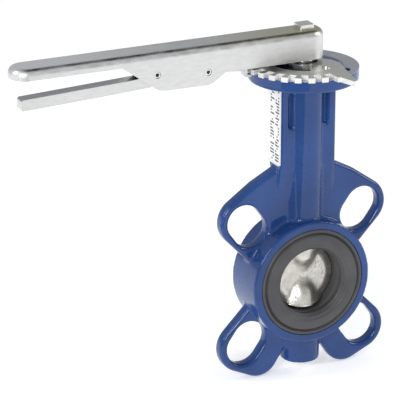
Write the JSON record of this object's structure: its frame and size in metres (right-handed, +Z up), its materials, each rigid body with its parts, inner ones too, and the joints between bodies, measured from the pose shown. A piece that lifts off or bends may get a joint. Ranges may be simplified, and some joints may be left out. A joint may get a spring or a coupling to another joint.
{
  "type": "wafer butterfly valve",
  "caption": "Wafer butterfly valve with slotted centring ears, rubber seat, closed metal disc and a lever that locks in a notch plate with a squeeze trigger.",
  "frame": {"origin": "centre of the bore, on the stem's axis", "axes": "+Y along the pipe towards the outlet face, +Z up the stem towards the lever, +X away from the lever when the disc is closed"},
  "size_m": [0.2373, 0.0815, 0.2165],
  "materials": {
    "casting": "gloss enamel over cast iron",
    "seat": "matt moulded rubber",
    "disc_steel": "satin cast stainless steel",
    "stem_steel": "ground stainless steel",
    "bronze": "machined bronze",
    "black_rubber": "smooth",
    "spring_steel": "blackened",
    "zinc_plate": "zinc plated and passivated",
    "cast_aluminium": "satin pressure die cast",
    "label_paper": "matt film label"
  },
  "bodies": {
    "housing": {"valve_body": "casting", "seat_liner": "seat", "upper_bush": "bronze", "column_bush": "bronze", "lower_bush": "bronze", "stem_o_ring": "black_rubber", "lower_o_ring": "black_rubber", "thrust_washer": "stem_steel", "retaining_circlip": "spring_steel", "bottom_plug": "zinc_plate", "plug_seal": "bronze", "notch_plate": "zinc_plate", "plate_screws": "zinc_plate", "name_label": "label_paper"},
    "rotor": {"disc": "disc_steel", "upper_stem": "stem_steel", "lower_stem": "stem_steel", "lever": "cast_aluminium", "lever_set_screw": "spring_steel", "pivot_pin": "stem_steel", "stop_pin": "stem_steel", "trigger_spring": "spring_steel"},
    "latch": {"trigger": "cast_aluminium"}
  },
  "joints": [
    {"name": "stem_turn", "type": "hinge", "parent": "housing", "child": "rotor", "pos_m": [0, 0, 0.1], "axis": [0, 0, 1], "range_deg": [0, 90]},
    {"name": "trigger_squeeze", "type": "hinge", "parent": "rotor", "child": "latch", "pos_m": [-0.0973, 0, 0.1403], "axis": [0, 1, 0], "range_deg": [-2.2, 4.8], "stiffness_Nm_per_rad": 0.6, "springref_deg": -20.05, "deforming": ["trigger_spring"]}
  ]
}
